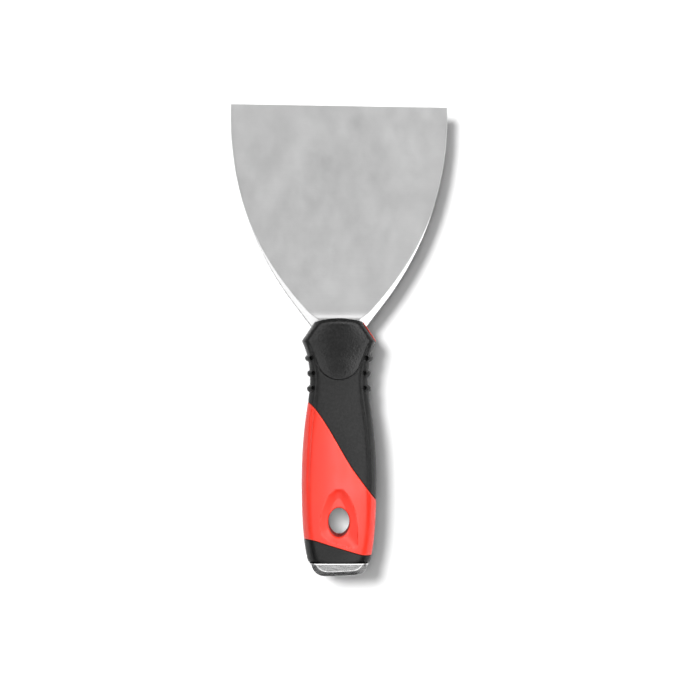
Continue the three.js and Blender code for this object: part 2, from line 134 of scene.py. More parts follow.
GRIP_WALL = 2.0
COLLAR_WALL = 1.6
SEAM_GAP = 0.12
SEAM_ROUND = 0.3
GRIP_SEAM_START = (-15.2, 37.9)                 # x and station on the left side
GRIP_SEAM_LEAVES = (28, 8.5)                    # angle in degrees and length of its tangent
GRIP_SEAM_STRAIGHT = (7.1, HANDLE_LENGTH - 42.3)
GRIP_SEAM_ARRIVES = (53.8, 10.1)
COLLAR_SEAM_LEFT = HANDLE_LENGTH - 10.9
COLLAR_SEAM_RIGHT = HANDLE_LENGTH - 3.4
COLLAR_SEAM_START = -12.5
COLLAR_SEAM_RUN = 24
LIP_WIDTH = 0.5             # red strip bared along the right shoulder
LIP_WEB_WIDTH = 5
LIP_WEB_HALF_THICKNESS = 2.4

DISH_DEPTH = 6.0
DISH_EASE = 11              # how far in from its rim the dish has gained most of its depth
HOLE_STATION = HANDLE_LENGTH - 18.9
HOLE_HALF_WIDTH = 4.7
HOLE_HALF_LENGTH = 6.5
HOLE_DRAFT = 0.018          # the hole widens by this much for each mm from the middle plane
RIVET_STATION = HANDLE_LENGTH - 4.6
RIVET_HOLE_RADIUS = 2.05
SPIGOT_LENGTH = 9.2
SPIGOT_HALF_WIDTH = 6.6
SPIGOT_HALF_THICKNESS = 4
SLOT_HALF_WIDTH = 4.2

TANG_OUTLINE = [(6.7, 10), (9.7, 9), (102.9, 9), (103.1, 4), (112, 4)]  # station, half width
TANG_END = 111.2
TANG_RIVET_HOLE_RADIUS = 2.1
EYE_ROOM = 1.8              # from the hang hole to the eye in the tang

CAP_GAP = 0.02
CAP_LENGTH = (CROWN_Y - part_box("hammer_cap")[0].y) / MM - HANDLE_LENGTH - CAP_GAP
CAP_HALF_THICKNESS = (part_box("hammer_cap")[1].z - MIDDLE_Z) / MM
CAP_HALF_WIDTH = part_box("hammer_cap")[1].x / MM
CAP_LEFT_SLOPE = 0.33       # how fast each side runs in towards the rear
CAP_RIGHT_SLOPE = 0.2
CAP_END_SLOPE = 0.055
CAP_CORNER = 4.5
CAP_CHAMFER = 2.2
CAP_CHAMFER_ANGLE = math.radians(33)
CAP_RIM_SLOPE = 0.25        # the rim's outer face falls this steeply towards the rear
CAP_RIM_WIDTH = 0.8

# --------------------------------------------------------------- numbers for light and camera

# Brightness that shiny surfaces reflect, by the height of its direction: 0 level, 1 overhead.
REFLECTED = [
    (0.0, 0.02), (0.45, 0.02), (0.66, 0.25), (0.78, 1.0),
    (0.91, 1.0), (0.945, 0.35), (0.97, 0.16), (1.0, 0.14),
]
REFLECTED_GAIN = 3.0
REFLECTED_LEAN = (0.5, 0.15, 0)     # the side that the brightness grows towards
FILL = 0.14
BACKDROP = 0.93
HOLE_LIGHT_POWER = 0.00015
HOLE_LIGHT_SIZE = (3, 4)
HOLE_LIGHT_PLACE = (2.6, -HOLE_STATION - 3.6, -6.5)
VIEW_WIDTH = 323.4          # mm across the picture, at the blade's height
CAMERA_ASIDE = 5.082        # from the knife's middle line to the picture's middle
CAMERA_BEHIND = 14.6685     # and from the crown
LENS = 100
SENSOR = 36

# --------------------------------------------------------------- implicit shapes


def smooth_max(a, b, blend):
    """The larger of two distances, with the edge where they meet rounded over."""
    share = np.maximum(blend - np.abs(a - b), 0) / blend
    return np.maximum(a, b) + share * share * blend / 4


def smooth_min(a, b, blend):
    return -smooth_max(-a, -b, blend)


def smooth_step(x, low, high):
    t = np.clip((x - low) / (high - low), 0, 1)
    return t * t * (3 - 2 * t)


def bump(x, width):
    return np.exp(-((x / width) ** 2))


def bezier(*controls, count=40):
    t = np.linspace(0, 1, count)[:, None]
    level = [np.array(c, float) + 0 * t for c in controls]
    while len(level) > 1:
        level = [a + (b - a) * t for a, b in zip(level, level[1:])]
    return level[0]


def ease(start, end, leave, arrive):
    """A curve from one point to another that leaves and arrives level."""
    run = end[0] - start[0]
    return bezier(start, (start[0] + leave * run, start[1]), (end[0] - arrive * run, end[1]), end)


class Profile:
    """A height that depends on a position alone, with its slope."""

    def __init__(self, *runs):
        points = np.concatenate(runs)
        keep = np.concatenate([[True], np.diff(points[:, 0]) > 1e-6])
        self.x, self.y = points[keep].T
        self.slope = np.gradient(self.y, self.x)

    def __call__(self, x):
        return np.interp(x, self.x, self.y)

    def lean(self, x):
        """How much longer a step along the profile is than the same step along x."""
        return np.hypot(1, np.interp(x, self.x, self.slope))


def lerp(a, b, share):
    return a + (b - a) * share


SHOULDER_SLOPE = (SHOULDER[1] - CROWN_HALF_WIDTH) / (SHOULDER[0] - CROWN_SAG)


def shoulder_line(station):
    return CROWN_HALF_WIDTH + (station - CROWN_SAG) * SHOULDER_SLOPE


def rear_run(belly_value, corner_value, rear_value, hold):
    """The last stretch of a handle profile: belly to rear corner, then round to the rear face."""
    start, corner = BELLY[0], REAR_CORNER[0]
    run = corner - start
    swing = bezier(
        (start, belly_value),
        (start + 0.46 * run, belly_value),
        (corner - 0.22 * run, lerp(corner_value, belly_value, hold)),
        (corner, corner_value),
    )
    turn = bezier(
        (corner, corner_value),
        (HANDLE_LENGTH, lerp(corner_value, rear_value, 0.5)),
        (HANDLE_LENGTH + 0.01, rear_value),
    )
    return [swing, turn]


half_width = Profile(
    [(-6, shoulder_line(-6)), SHOULDER],
    bezier(SHOULDER, (SHOULDER[0] + 4.5, SHOULDER[1] - 2.2), (WAIST[0] - 7.5, WAIST[1]), WAIST),
    ease(WAIST, BELLY, 0.21, 0.59),
    *rear_run(BELLY[1], REAR_CORNER[1], REAR_HALF_WIDTH, 0.7),
)
half_thickness = Profile(
    [(-6, PAD_HALF_THICKNESS)],
    ease((PAD_FLAT_END, PAD_HALF_THICKNESS), (WAIST[0], WAIST_HALF_THICKNESS), 0.5, 0.5),
    ease(
        (WAIST[0], WAIST_HALF_THICKNESS),
        (BELLY[0] - BELLY_FLAT, BELLY_HALF_THICKNESS - 0.02),
        0.32,
        0.38,
    ),
    *rear_run(
        BELLY_HALF_THICKNESS - 0.02, REAR_CORNER_HALF_THICKNESS, REAR_HALF_THICKNESS, 0.6
    ),
)

facet_run = Profile(
    [(-6, SHOULDER_FACET_RUN)],
    ease((SHOULDER[0], SHOULDER_FACET_RUN), (WAIST[0], FACET_RUN), 0.3, 0.5),
    [(HANDLE_LENGTH, FACET_RUN)],
)
face_drop = Profile(
    [(-6, WAIST_FACE_DROP)],
    ease((WAIST[0], WAIST_FACE_DROP), (BELLY[0] - BELLY_FLAT, BELLY_FACE_DROP), 0.3, 0.5),
    [(BELLY[0], BELLY_FACE_DROP), (HANDLE_LENGTH, REAR_FACE_DROP)],
)


def crown_distance(x, y):
    """How far a point is in front of the arc of the crown."""
    return np.hypot(x, np.minimum(-y - CROWN_RADIUS, 0)) - CROWN_RADIUS


def plan_distance(x, y):
    """How far a point is outside the handle's sides, seen from above."""
    return (np.abs(x) - half_width(-y)) / half_width.lean(-y)


def face_level(x, y):
    """Height of the handle's gently crowned face."""
    face_edge = half_width(-y) - facet_run(-y)
    across = np.minimum(np.abs(x) / face_edge, 1.4)
    return half_thickness(-y) - face_drop(-y) * across**FACE_POWER


def handle_form(x, y, z):
    """The handle's whole outer form, before thumb pads, ribs, recess and seams."""
    s = -y
    h = half_thickness(s)
    height = np.abs(z)
    side = plan_distance(x, y)
    run = facet_run(s)
    drop = face_drop(s)
    face = height - face_level(x, y)
    band = np.minimum(SIDE_HALF_HEIGHT, 0.45 * h)
    fall = h - drop - band
    facet = (side + run) * fall + (height - h + drop) * run
    facet = facet / np.hypot(fall, run)
    crown = crown_distance(x, y)
    front = (crown + FRONT_BEVEL_RUN) * FRONT_BEVEL_DROP + (height - h) * FRONT_BEVEL_RUN
    front = front / math.hypot(FRONT_BEVEL_DROP, FRONT_BEVEL_RUN)
    top = smooth_max(smooth_max(face, facet, EDGE_BLEND), front, EDGE_BLEND)
    ends = np.maximum(crown, s - HANDLE_LENGTH)
    return smooth_max(smooth_max(top, side, EDGE_BLEND), ends, END_ROUND)


def crease(x, y):
    """Depth of the groove where each face meets its side facets."""
    s = -y
    reach = smooth_step(s, SHOULDER[0] - 1, SHOULDER[0] + 4) * (1 - smooth_step(s, *CREASE_FADE))
    across = (np.abs(x) - half_width(s) + facet_run(s) + 0.25) / CREASE_WIDTH
    return CREASE_DEPTH * reach * np.exp(-across * across)


def with_details(x, y, z):
    """The outer form with its creases, thumb pads and ribs."""
    s = -y
    form = handle_form(x, y, z)
    body = form + crease(x, y)
    from_pad = np.hypot(x, s - PAD_STATION)
    top = PAD_HALF_THICKNESS + PAD_CROWN * (1 - (from_pad / PAD_RADIUS) ** 2)
    top = top - PAD_FOLLOWS_FACE * (half_thickness(s) - face_level(x, y))
    top = top - PAD_SINK * (1 - smooth_step(s, PAD_STATION - 3, PAD_STATION + 6))
    pad = smooth_max(from_pad - PAD_RADIUS, np.abs(z) - top, 0.5)
    rim = smooth_step(s, PAD_STATION + 3, PAD_STATION + 8) * bump(from_pad - PAD_RADIUS - 0.3, 0.4)
    body = smooth_min(body + 0.25 * rim, pad, 0.3)
    for station in RIB_STATIONS:
        inner = half_width(station) - RIB_REACH
        inward = np.maximum(inner - np.abs(x), 0)
        bar = np.sqrt((s - station)**2 + (form + 0.25)**2 + inward**2) - RIB_RADIUS
        pit = np.hypot(np.abs(x) - inner + PIT_INWARD, (s - station + 0.2) * 0.8) - PIT_RADIUS
        pit = smooth_max(pit, -form - 0.8, 0.3)
        body = smooth_min(body, bar, 0.3)
        body = smooth_max(body, -pit, 0.3)
    return body


def direction(angle):
    return np.array([math.cos(math.radians(angle)), math.sin(math.radians(angle))])


def seam_profile():
    """Where the grip ends: a curve off the left side, then a straight line to the right."""
    start = np.array(GRIP_SEAM_START)
    straight = np.array(GRIP_SEAM_STRAIGHT)
    leave, run = direction(GRIP_SEAM_LEAVES[0]), direction(GRIP_SEAM_ARRIVES[0])
    from_start = start + GRIP_SEAM_LEAVES[1] * leave
    to_straight = straight - GRIP_SEAM_ARRIVES[1] * run
    return Profile(
        [start - 10 * leave],
        bezier(start, from_start, to_straight, straight),
        [straight + 40 * run],
    )


grip_seam = seam_profile()


def behind_grip_seam(x, y):
    return (-y - grip_seam(x)) / grip_seam.lean(x)


def behind_collar_seam(x, y):
    slope = (COLLAR_SEAM_RIGHT - COLLAR_SEAM_LEFT) / COLLAR_SEAM_RUN
    line = COLLAR_SEAM_LEFT + (x - COLLAR_SEAM_START) * slope
    seam = smooth_min(smooth_max(line, COLLAR_SEAM_LEFT, 0.8), COLLAR_SEAM_RIGHT, 0.8)
    return (-y - seam) / math.hypot(1, slope * 0.9)


def under_grip(x, y, z, inset):
    """The inside of the soft grip: the outer form drawn in, with a thinner wall at the front."""
    return np.maximum(handle_form(x, y, z) + inset, crown_distance(x, y) + inset - 0.4)


def ellipse_distance(x, y, half_x, half_y):
    """Rough distance outside an ellipse."""
    length = np.hypot(x / half_x, y / half_y)
    return (length - 1) * np.sqrt(half_x * half_y)


def tang_half_width(y):
    """Half the width of the steel from just behind the crown to its tail."""
    front = (BLADE_BEHIND_CROWN, shank_half_width(-BLADE_BEHIND_CROWN))
    return np.interp(-y, *np.transpose([front, *TANG_OUTLINE]))


def tang_form(x, y, z, margin):
    """The flat steel inside the handle, grown by a margin."""
    side = np.abs(x) - tang_half_width(y) - margin
    ends = np.maximum(y + BLADE_BEHIND_CROWN, -y - TANG_END) - margin
    eye_size = (HOLE_HALF_WIDTH + EYE_ROOM, HOLE_HALF_LENGTH + EYE_ROOM)
    eye = ellipse_distance(x, y + HOLE_STATION, *eye_size)
    pin = np.hypot(x, y + RIVET_STATION) - TANG_RIVET_HOLE_RADIUS
    plan = np.maximum(side, np.maximum(ends, np.maximum(-eye, -pin) - margin))
    return smooth_max(np.abs(z) - ROOT_THICKNESS / 2 - margin, plan, 0.2)


def tang(x, y, z):
    return tang_form(x, y, z, 0)


def lip_strip(x, y, width, overlap):
    """The strip along the right shoulder, in plan: negative inside it."""
    slant = math.hypot(1, SHOULDER_SLOPE)
    inward = (shoulder_line(-y) - x) / slant
    along = ((-y - SHOULDER[0]) + (x - SHOULDER[1]) * SHOULDER_SLOPE) / slant
    length = math.hypot(SHOULDER[0] - CROWN_SAG, SHOULDER[1] - CROWN_HALF_WIDTH)
    return np.maximum(inward - width, np.maximum(along - overlap, -along - length - overlap))


def lip_web(x, y, z, margin):
    """The part of the core that reaches out through the grip to carry the lip."""
    strip = lip_strip(x, y, LIP_WEB_WIDTH + margin, margin - 2)
    return np.maximum(strip, np.abs(z) - LIP_WEB_HALF_THICKNESS - margin)


def blade_slot(x, y, z, margin):
    """The mouth in the handle's front that the blade comes out of."""
    height = np.abs(z) - ROOT_THICKNESS / 2 - ROOT_RISE - margin
    back = -y - BLADE_BEHIND_CROWN - margin
    side = np.abs(x) - shank_half_width(y) - 1.3 * margin
    return np.maximum(np.maximum(height, back), side)


def soft_grip(x, y, z):
    outside = smooth_max(with_details(x, y, z), behind_grip_seam(x, y) + SEAM_GAP / 2, SEAM_ROUND)
    outside = smooth_max(outside, -lip_strip(x, y, LIP_WIDTH + 0.1, 0.1), 0.25)
    hollow = under_grip(x, y, z, GRIP_WALL)
    hollow = np.minimum(hollow, lip_web(x, y, z, 0.15))
    hollow = np.minimum(hollow, blade_slot(x, y, z, 0.12))
    return smooth_max(outside, -hollow, 0.2)


# The dish is bounded by a curve on each side and by a line parallel to the collar seam.
# The curves are given as stations with distances from the middle line.
DISH_APEX = [(77.7, 0), (77.8, 3.2)]
DISH_LEFT = Profile(
    bezier(*DISH_APEX, (85.5, 8.5), (94, 8.5)),
    bezier((94, 8.5), (96.5, 8.5), (98.5, 8.4), (100.6, 7.4)),
)
DISH_RIGHT = Profile(
    bezier(*DISH_APEX, (86.5, 8.5), (96, 8.5)),
    bezier((96, 8.5), (99, 8.5), (102, 8.7), (106, 8.4)),
)


def dish_plan(x, y):
    """Distance outside the dish's rim, seen from above."""
    s = -y
    left = (-x - DISH_LEFT(s)) / DISH_LEFT.lean(s)
    right = (x - DISH_RIGHT(s)) / DISH_RIGHT.lean(s)
    bottom = behind_collar_seam(x, y) + 1.9
    sides = smooth_max(left, right, 3)
    return smooth_max(sides, bottom, 3)


def dish(x, y, z):
    """The egg-shaped scoop in each face, as material to take away."""
    plan = dish_plan(x, y)
    inside = np.maximum(-plan, 0)
    depth = DISH_DEPTH * (1 - np.exp(-inside / DISH_EASE))
    return np.where(plan < 0, face_level(x, y) - depth - np.abs(z), plan)


def rivet_hole(x, y):
    return np.hypot(x, y + RIVET_STATION) - RIVET_HOLE_RADIUS


def handle_core(x, y, z):
    """The red moulding: bare behind the grip, with a neck, a tail and a web under the others."""
    form = handle_form(x, y, z)
    outside = form + crease(x, y)
    bare = smooth_max(outside, -behind_grip_seam(x, y) + SEAM_GAP / 2, SEAM_ROUND)
    bare = smooth_max(bare, behind_collar_seam(x, y) + SEAM_GAP / 2, SEAM_ROUND)
    bare = smooth_max(bare, -dish(x, y, z), 0.3)
    neck = np.maximum(under_grip(x, y, z, GRIP_WALL + 0.15), behind_collar_seam(x, y) + 0.1)
    tail = np.maximum(form + COLLAR_WALL + 0.15, -y - HANDLE_LENGTH + 1.4)
    lip = smooth_max(form, lip_strip(x, y, LIP_WIDTH, 0.1), 0.2)
    web = np.maximum(form + 0.1, lip_web(x, y, z, 0))
    solid = np.minimum(np.minimum(bare, neck), np.minimum(tail, np.minimum(lip, web)))
    draft = HOLE_DRAFT * np.abs(z)
    hole = ellipse_distance(x, y + HOLE_STATION, HOLE_HALF_WIDTH + draft, HOLE_HALF_LENGTH + draft)
    solid = smooth_max(solid, -hole, 0.7)
    solid = smooth_max(solid, -tang_form(x, y, z, 0.15), 0.1)
    solid = smooth_max(solid, -blade_slot(x, y, z, 0.15), 0.1)
    solid = np.maximum(solid, -spigot(x, y, z, 0.2, 1))
    return np.maximum(solid, -rivet_hole(x, y))


def spigot(x, y, z, margin, extra):
    """The block of the hammer cap that goes into the handle, grown by a margin and longer."""
    front = y + HANDLE_LENGTH - SPIGOT_LENGTH - extra
    length = np.maximum(front, -y - HANDLE_LENGTH - 3)
    section = np.maximum(np.abs(x) - SPIGOT_HALF_WIDTH, np.abs(z) - SPIGOT_HALF_THICKNESS)
    return np.maximum(length, section - margin)


def rear_collar(x, y, z):
    form = handle_form(x, y, z)
    outside = smooth_max(form, -behind_collar_seam(x, y) + SEAM_GAP / 2, SEAM_ROUND)
    outside = smooth_max(outside, -y - HANDLE_LENGTH, END_ROUND)
    hollow = np.maximum(form + COLLAR_WALL, -y - HANDLE_LENGTH + 1.25)
    hollow = np.minimum(hollow, spigot(x, y, z, 0.1, 0))
    return smooth_max(outside, -hollow, 0.15)


def hammer_cap(x, y, z):
    """The plated cap: a flat face each side, a broad chamfer round it and a bright front rim."""
    back = -y - HANDLE_LENGTH - CAP_GAP
    height = np.abs(z)
    end = back - CAP_LENGTH + CAP_END_SLOPE * np.maximum(x + 2, 0)
    left = -x - CAP_HALF_WIDTH + 0.6 + CAP_LEFT_SLOPE * back
    left = left / math.hypot(1, CAP_LEFT_SLOPE)
    right = x - CAP_HALF_WIDTH + 0.4 + CAP_RIGHT_SLOPE * back
    right = right / math.hypot(1, CAP_RIGHT_SLOPE)
    plan = smooth_max(smooth_max(left, right, 1), end, CAP_CORNER)
    chamfer = (plan + CAP_CHAMFER) * math.sin(CAP_CHAMFER_ANGLE)
    chamfer = chamfer + (height - CAP_HALF_THICKNESS) * math.cos(CAP_CHAMFER_ANGLE)
    body = smooth_max(height - CAP_HALF_THICKNESS, chamfer, 0.1)
    body = smooth_max(body, plan, 0.25)
    body = smooth_max(body, -back, 0.2)
    flare = height - REAR_HALF_THICKNESS + 0.3 + CAP_RIM_SLOPE * back
    section = smooth_max(np.abs(x) - CAP_HALF_WIDTH, flare, 4)
    rim = smooth_max(np.abs(back - CAP_RIM_WIDTH / 2) - CAP_RIM_WIDTH / 2, section, 0.15)
    body = smooth_min(body, rim, 0.1)
    body = np.minimum(body, np.maximum(spigot(x, y, z, 0, 0), -back - 12))
    slot = np.maximum(np.abs(z) - ROOT_THICKNESS / 2 - 0.2, np.abs(x) - SLOT_HALF_WIDTH)
    body = np.maximum(body, -np.maximum(slot, back))
    return np.maximum(body, -rivet_hole(x, y))


# --------------------------------------------------------------- meshes from implicit shapes


def surface_net(field, axes):
    """Quads round the zero level of a field sampled on a grid, with one vertex in each cell."""
    inside = field < 0
    cells = np.array(field.shape) - 1
    total = np.zeros((cells.prod(), 3))
    count = np.zeros(cells.prod())
    faces = []
    for axis in range(3):
        near = tuple(slice(0, -1) if k == axis else slice(None) for k in range(3))
        far = tuple(slice(1, None) if k == axis else slice(None) for k in range(3))
        change = inside[near] != inside[far]
        index = np.argwhere(change)
        a, b = field[near][change], field[far][change]
        point = np.stack([axes[k][index[:, k]] for k in range(3)], 1)
        step = axes[axis][index[:, axis] + 1] - axes[axis][index[:, axis]]
        point[:, axis] += a / (a - b) * step
        first, second = [k for k in range(3) if k != axis]
        around = []
        for back_first, back_second in ((0, 0), (1, 0), (1, 1), (0, 1)):
            cell = index.copy()
            cell[:, first] -= back_first
            cell[:, second] -= back_second
            flat = np.ravel_multi_index(cell.T, cells)
            for k in range(3):
                total[:, k] += np.bincount(flat, point[:, k], len(count))
            count += np.bincount(flat, minlength=len(count))
            around.append(flat)
        quads = np.stack(around, 1)
        turn = inside[near][change] == (axis == 1)
        quads[turn] = quads[turn, ::-1]
        faces.append(quads)
    used = np.flatnonzero(count)
    number = np.full(len(count), -1)
    number[used] = np.arange(len(used))
    return total[used] / count[used, None], number[np.concatenate(faces)]


def gradient(shape, points, step=0.004):
    parts = []
    for axis in range(3):
        offset = np.zeros(3)
        offset[axis] = step
        parts.append(shape(*(points + offset).T) - shape(*(points - offset).T))
    return np.stack(parts, 1) / (2 * step)


def settle(shape, points, quads, rounds=3, reach=0.35):
    """Evens out the vertices along the surface and brings them back onto it."""
    pairs = np.concatenate([quads[:, [k, (k + 1) % 4]] for k in range(4)])
    ends = np.concatenate([pairs, pairs[:, ::-1]])
    degree = np.bincount(ends[:, 0], minlength=len(points))[:, None]
    for turn in range(rounds + 1):
        if turn:
            mean = np.stack(
                [np.bincount(ends[:, 0], points[ends[:, 1], k], len(points)) for k in range(3)], 1
            )
            points = points + 0.5 * (mean / degree - points)
        for _ in range(3):
            g = gradient(shape, points)
            scale = shape(*points.T) / np.maximum((g * g).sum(1), 0.05)
            points = points - np.clip(scale[:, None] * g, -reach, reach)
    return points


def grid_axis(*runs):
    """Grid positions made of stretches (start, end, spacing)."""
    parts = [np.linspace(a, b, max(2, round((b - a) / gap) + 1)) for a, b, gap in runs]
    return np.unique(np.round(np.concatenate(parts), 5))


def to_row(points):
    """Points in the knife's own frame, in mm, as points in the row frame, in metres."""
    return points * MM + np.array([0, CROWN_Y, MIDDLE_Z])


def mesh_object(name, points, faces):
    mesh = bpy.data.meshes.new(name)
    mesh.from_pydata(to_row(points).tolist(), [], faces.tolist())
    mesh.polygons.foreach_set("use_smooth", [True] * len(mesh.polygons))
    mesh.validate()
    mesh.update()
    piece = bpy.data.objects.new(name, mesh)
    bpy.context.scene.collection.objects.link(piece)
    return piece


def implicit_piece(name, shape, axes, body, material, nodes):
    field = shape(axes[0][:, None, None], axes[1][None, :, None], axes[2][None, None, :])
    field = np.broadcast_to(field, [len(a) for a in axes])
    points, quads = surface_net(field, axes)
    points = settle(shape, points, quads)
    piece = mesh_object(name, points, quads)
    normals = gradient(shape, points)
    normals = normals / np.linalg.norm(normals, axis=1)[:, None].clip(1e-6)
    piece.data.normals_split_custom_set_from_vertices(normals.tolist())
    piece.data.materials.append(material)
    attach(piece, body)
    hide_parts(*nodes)
    return piece


# --------------------------------------------------------------- blade


def solve_flare():
    """Angle through which the blade's sides turn, so that they reach the shank's width."""
    run = BLADE_LENGTH - PARALLEL_LENGTH - STRAIGHT_LENGTH
    low, high = 0, math.pi / 2
    for _ in range(50):
        middle = (low + high) / 2
        reached = run * math.tan(middle / 2) + STRAIGHT_LENGTH * math.tan(middle)
        if reached < BLADE_WIDTH / 2 - SHANK_HALF_WIDTH:
            low = middle
        else:
            high = middle
    return middle, run / math.sin(middle)


FLARE_ANGLE, FLARE_RADIUS = solve_flare()


def shank_half_width(y):
    return SHANK_HALF_WIDTH + y * math.tan(FLARE_ANGLE)


def blade_half_width(y):
    behind = np.maximum(0, BLADE_LENGTH - PARALLEL_LENGTH - y)
    behind = np.minimum(behind, FLARE_RADIUS * 0.99)
    flare = BLADE_WIDTH / 2 - FLARE_RADIUS + np.sqrt(FLARE_RADIUS**2 - behind**2)
    return np.where(y < STRAIGHT_LENGTH, shank_half_width(y), flare)


def blade_half_thickness(y):
    """Half the thickness of the flat: thin in front, thickening towards the root."""
    thicken_from = BLADE_LENGTH - THIN_LENGTH
    share = np.clip((thicken_from - y) / thicken_from, 0, 1) ** 1.5
    return (EDGE_THICKNESS + (ROOT_THICKNESS - EDGE_THICKNESS) * share) / 2


def blade_height(x, y):
    """Height of the blade's upper face over the middle plane."""
    flat = blade_half_thickness(y)
    ramp = ROOT_RISE * np.clip((ROOT_RAMP - y) / ROOT_RAMP, 0, 1) ** 3
    inward = (blade_half_width(y) - np.abs(x)) / math.hypot(1, SIDE_SLOPE)
    ground = EDGE_THICKNESS / 2 + inward * BEVEL_SLOPE
    broken_edge = 0.3 * (flat - EDGE_THICKNESS / 2) * np.exp(-inward / 0.1)
    return smooth_min(flat + ramp, ground, 0.05) - broken_edge


def make_blade(material):
    """The blade as an even grid over both faces, joined round its edge."""
    rows = grid_axis(
        (-BLADE_BEHIND_CROWN, 12, 0.55),
        (12, BLADE_LENGTH - 1, 1.3),
        (BLADE_LENGTH - 1, BLADE_LENGTH, 0.2),
    )
    margin = np.array([0, 0.04, 0.12, 0.3, 0.7])
    y = rows[:, None]
    w = blade_half_width(y)
    bevel = np.minimum((blade_half_thickness(y) - EDGE_THICKNESS / 2) / BEVEL_SLOPE, 0.4 * w)
    bevel = np.maximum(bevel * math.hypot(1, SIDE_SLOPE), 0.9)
    inner = np.linspace(0, 1, 6)[1:-1] * (bevel - 0.75) + 0.7
    turn = bevel + np.array([[-0.12, 0, 0.12, 0.35]])
    outer = w - np.concatenate([margin + 0 * y, inner, turn], 1)
    middle = outer[:, -1:] * np.linspace(1, -1, 60)[None, 1:-1]
    x = np.concatenate([outer, middle, -outer[:, ::-1]], 1)
    y = y + 0 * x
    z = blade_height(x, y)
    front = np.clip((y - SLANT_START) / (BLADE_LENGTH - SLANT_START), 0, 1)
    across = (x + BLADE_WIDTH / 2) / BLADE_WIDTH
    y = y - EDGE_SLANT * across * front * front
    upper = np.stack([x, y, z], 2).reshape(-1, 3)
    lower = upper * [1, 1, -1]
    columns = x.shape[1]
    corner = (np.arange(len(rows) - 1)[:, None] * columns + np.arange(columns - 1)).ravel()
    top = np.stack([corner, corner + columns, corner + columns + 1, corner + 1], 1)
    base = len(upper)
    bottom = top[:, ::-1] + base
    ring = np.concatenate([
        np.arange(columns),
        np.arange(1, len(rows)) * columns + columns - 1,
        (len(rows) - 1) * columns + np.arange(columns - 1)[::-1],
        np.arange(1, len(rows) - 1)[::-1] * columns,
    ])
    following = np.roll(ring, -1)
    wall = np.stack([ring, following, following + base, ring + base], 1)
    faces = np.concatenate([top, bottom, wall])
    blade = mesh_object("blade", np.concatenate([upper, lower]), faces)
    blade.data.set_sharp_from_angle(angle=math.radians(35))
    blade.data.materials.append(material)
    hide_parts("blade")
    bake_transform(blade)
    return blade


# --------------------------------------------------------------- materials


class Nodes:
    """Short ways to add and join the nodes of one material."""

    def __init__(self, name, **settings):
        self.material = bpy.data.materials.new(name)
        self.material.use_nodes = True
        self.tree = self.material.node_tree
        self.shader = self.tree.nodes["Principled BSDF"]
        for socket, value in settings.items():
            self.shader.inputs[socket.replace("_", " ")].default_value = value
        place = self.tree.nodes.new("ShaderNodeTexCoord")
        self.place = place.outputs["Object"]

    def add(self, kind, **inputs):
        node = self.tree.nodes.new("ShaderNode" + kind)
        for socket, value in inputs.items():
            self.join(value, node.inputs[socket.replace("_", " ")])
        return node

    def join(self, value, socket):
        if isinstance(value, bpy.types.NodeSocket):
            self.tree.links.new(value, socket)
        else:
            socket.default_value = value

    def scaled(self, x, y, z):
        """The place on the piece, in metres, times a scale along each axis."""
        node = self.add("Mapping", Vector=self.place)
        node.inputs["Scale"].default_value = (x, y, z)
        return node.outputs["Vector"]

    def along(self, axis):
        """The place on the piece along one axis, in metres."""
        return self.add("SeparateXYZ", Vector=self.place).outputs[axis]

    def from_middle(self, middle, radii):
        """Distance from an upright axis at a place in mm behind the crown, 1 at the radii."""
        scale = [1 / (radius * MM) for radius in radii]
        node = self.add("Mapping", Vector=self.place)
        node.inputs["Scale"].default_value = (*scale, 0)
        node.inputs["Location"].default_value = (
            -middle[0] * MM * scale[0], -(CROWN_Y + middle[1] * MM) * scale[1], 0
        )
        length = self.add("VectorMath", Vector=node.outputs["Vector"])
        length.operation = "LENGTH"
        return length.outputs["Value"]

    def noise(self, scale, detail=3.0, roughness=0.5, stretch=(1, 1, 1)):
        vector = self.scaled(*(scale * s for s in stretch))
        node = self.add("TexNoise", Vector=vector, Scale=1.0, Detail=detail, Roughness=roughness)
        return node.outputs["Fac"]

    def cells(self, scale):
        node = self.add("TexVoronoi", Vector=self.scaled(scale, scale, scale), Scale=1.0)
        return node.outputs["Distance"]

    def ranged(self, value, low, high, to_low, to_high):
        node = self.add("MapRange", Value=value)
        for socket, number in (
            ("From Min", low), ("From Max", high), ("To Min", to_low), ("To Max", to_high)
        ):
            node.inputs[socket].default_value = number
        return node.outputs["Result"]

    def mixed(self, share, a, b):
        node = self.tree.nodes.new("ShaderNodeMix")
        node.data_type = "RGBA"
        self.join(share, node.inputs[0])
        for value, socket in ((a, node.inputs[6]), (b, node.inputs[7])):
            self.join(value if isinstance(value, bpy.types.NodeSocket) else (*value, 1), socket)
        return node.outputs[2]

    def worn(self, low=0.51, high=0.56):
        """1 along raised edges and 0 elsewhere."""
        geometry = self.tree.nodes.new("ShaderNodeNewGeometry")
        return self.ranged(geometry.outputs["Pointiness"], low, high, 0, 1)

    def math(self, operation, a, b):
        node = self.tree.nodes.new("ShaderNodeMath")
        node.operation = operation
        self.join(a, node.inputs[0])
        self.join(b, node.inputs[1])
        return node.outputs[0]

    def bumps(self, *layers):
        """Bump layers as (height, strength, distance in metres), one over the other."""
        normal = None
        for height, strength, distance in layers:
            node = self.add("Bump", Height=height, Strength=strength, Distance=distance)
            if normal is not None:
                self.join(normal, node.inputs["Normal"])
            normal = node.outputs["Normal"]
        self.join(normal, self.shader.inputs["Normal"])

    def finish(self, colour, roughness):
        self.join(colour, self.shader.inputs["Base Color"])
        self.join(roughness, self.shader.inputs["Roughness"])
        return self.material


